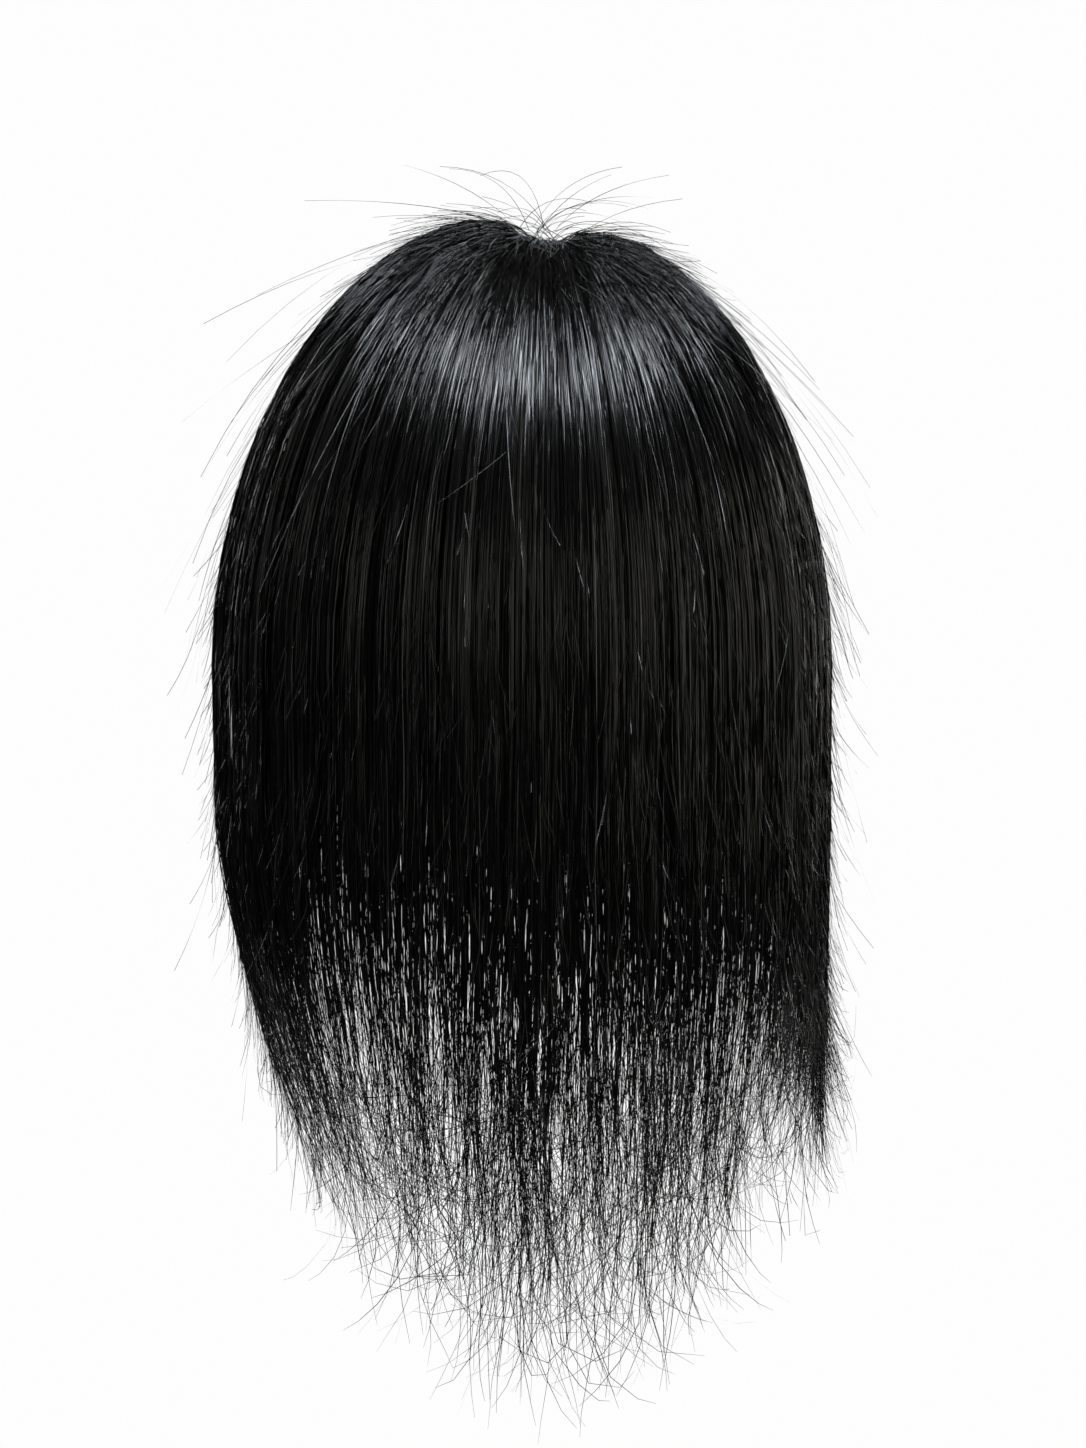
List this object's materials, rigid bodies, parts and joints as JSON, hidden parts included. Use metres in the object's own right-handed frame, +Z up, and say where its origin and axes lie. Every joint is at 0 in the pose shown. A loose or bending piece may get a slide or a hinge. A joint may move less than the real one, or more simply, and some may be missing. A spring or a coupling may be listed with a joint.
{
  "type": "toupee hairpiece",
  "caption": "Long straight black hair topper with a centre parting and crown whorl, on a thin net base cap that clips onto the wearer's own hair.",
  "frame": {"origin": "the top of the scalp, at the middle of the base cap's underside, where the piece sits on the head", "axes": "+Z up, the piece's longest extent; -Y the back of the head, which the hair falls over; +X the wearer's right"},
  "size_m": [0.2049, 0.1889, 0.371],
  "materials": {
    "black_hair": "straight glossy black hair",
    "cap_net": "fine dark net",
    "painted_clip": "satin black"
  },
  "bodies": {
    "root": {"base_cap": "cap_net", "back_hair_center": "black_hair", "back_hair_left": "black_hair", "back_hair_right": "black_hair", "back_hair_outer_left": "black_hair", "back_hair_outer_right": "black_hair", "side_hair_left": "black_hair", "side_hair_right": "black_hair", "front_hair_left": "black_hair", "front_hair_right": "black_hair", "snap_clip_front": "painted_clip", "snap_clip_back": "painted_clip", "snap_clip_left": "painted_clip", "snap_clip_right": "painted_clip"}
  },
  "joints": []
}
